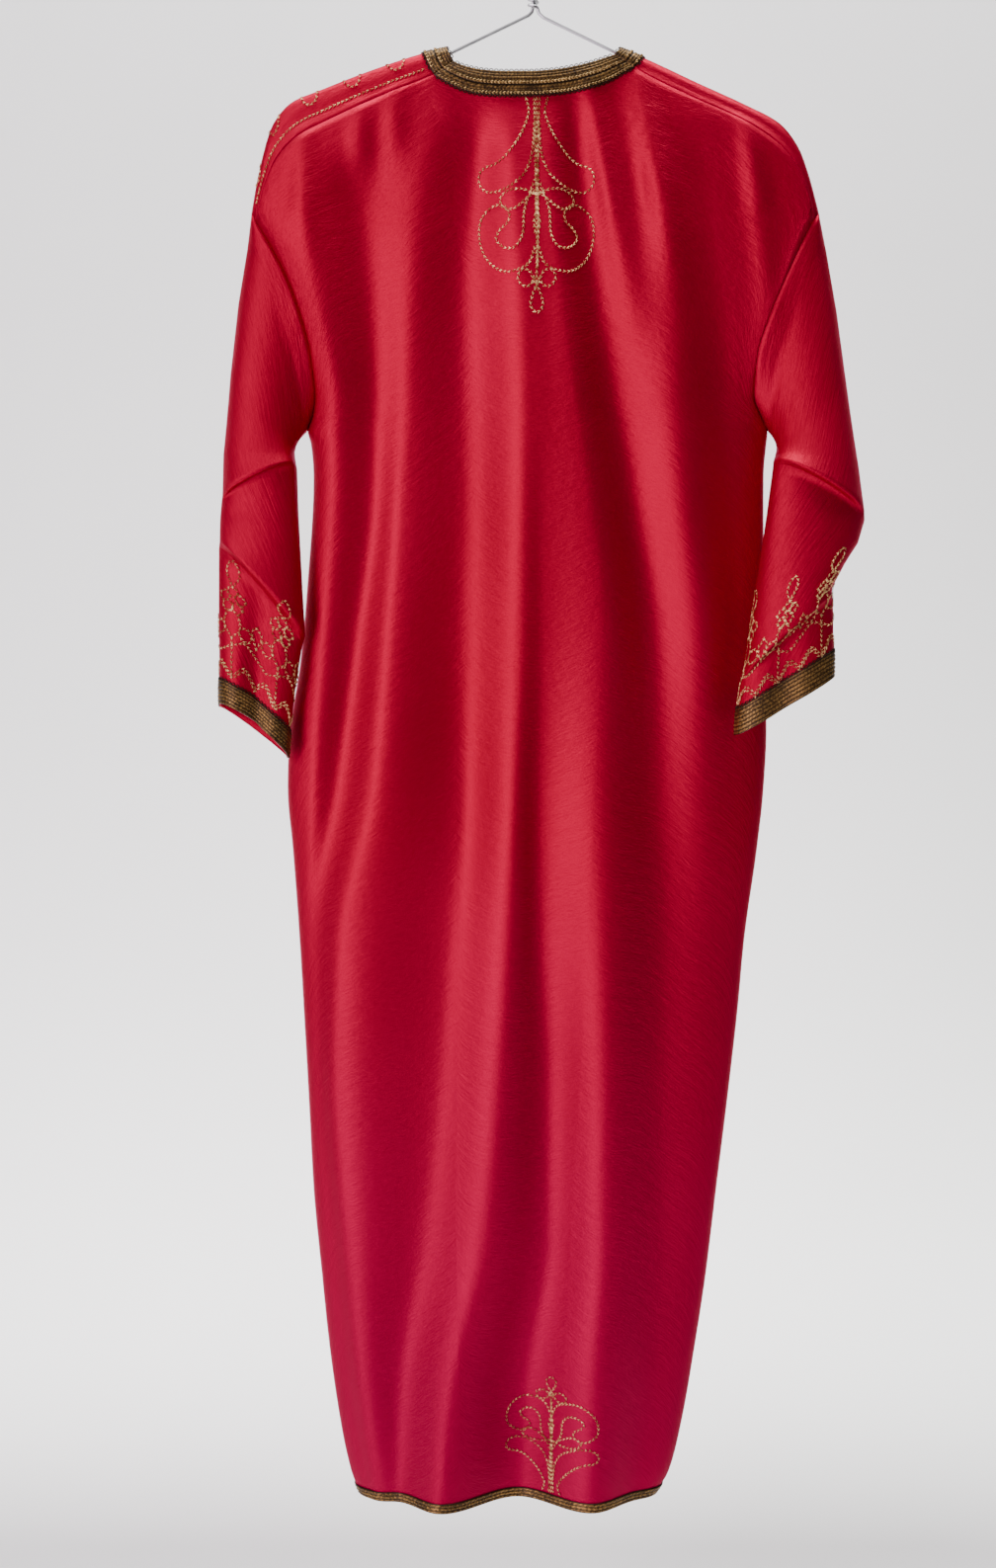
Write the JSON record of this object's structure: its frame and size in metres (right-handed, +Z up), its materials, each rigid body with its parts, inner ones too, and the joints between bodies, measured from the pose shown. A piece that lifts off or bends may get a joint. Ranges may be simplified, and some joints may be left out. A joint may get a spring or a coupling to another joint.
{
  "type": "moroccan kaftan on a wire hanger",
  "caption": "Long-sleeved ankle-length kaftan edged with metallic braid, hanging empty in soft folds from a thin wire hanger.",
  "frame": {"origin": "the point inside the hanger's hook that bears on the rail it hangs from", "axes": "+Z up; -Y the side that shows in the picture, the kaftan's back; +Y the kaftan's front with its opening; +X the viewer's right in the picture"},
  "size_m": [0.5621, 0.1315, 1.4297],
  "materials": {
    "red_satin": "crimson crepe satin, soft sheen, fine crinkle",
    "gold_braid": "woven braid of antique gold metallic thread",
    "wire": "plain galvanised wire, 3 mm"
  },
  "bodies": {
    "root": {"back": "red_satin", "front_left": "red_satin", "front_right": "red_satin", "sleeve_left": "red_satin", "sleeve_right": "red_satin", "neck_braid_back": "gold_braid", "neck_braid_left": "gold_braid", "neck_braid_right": "gold_braid", "front_braid_left": "gold_braid", "front_braid_right": "gold_braid", "hem_braid": "gold_braid", "cuff_braid_left": "gold_braid", "cuff_braid_right": "gold_braid", "hanger": "wire"}
  },
  "joints": []
}
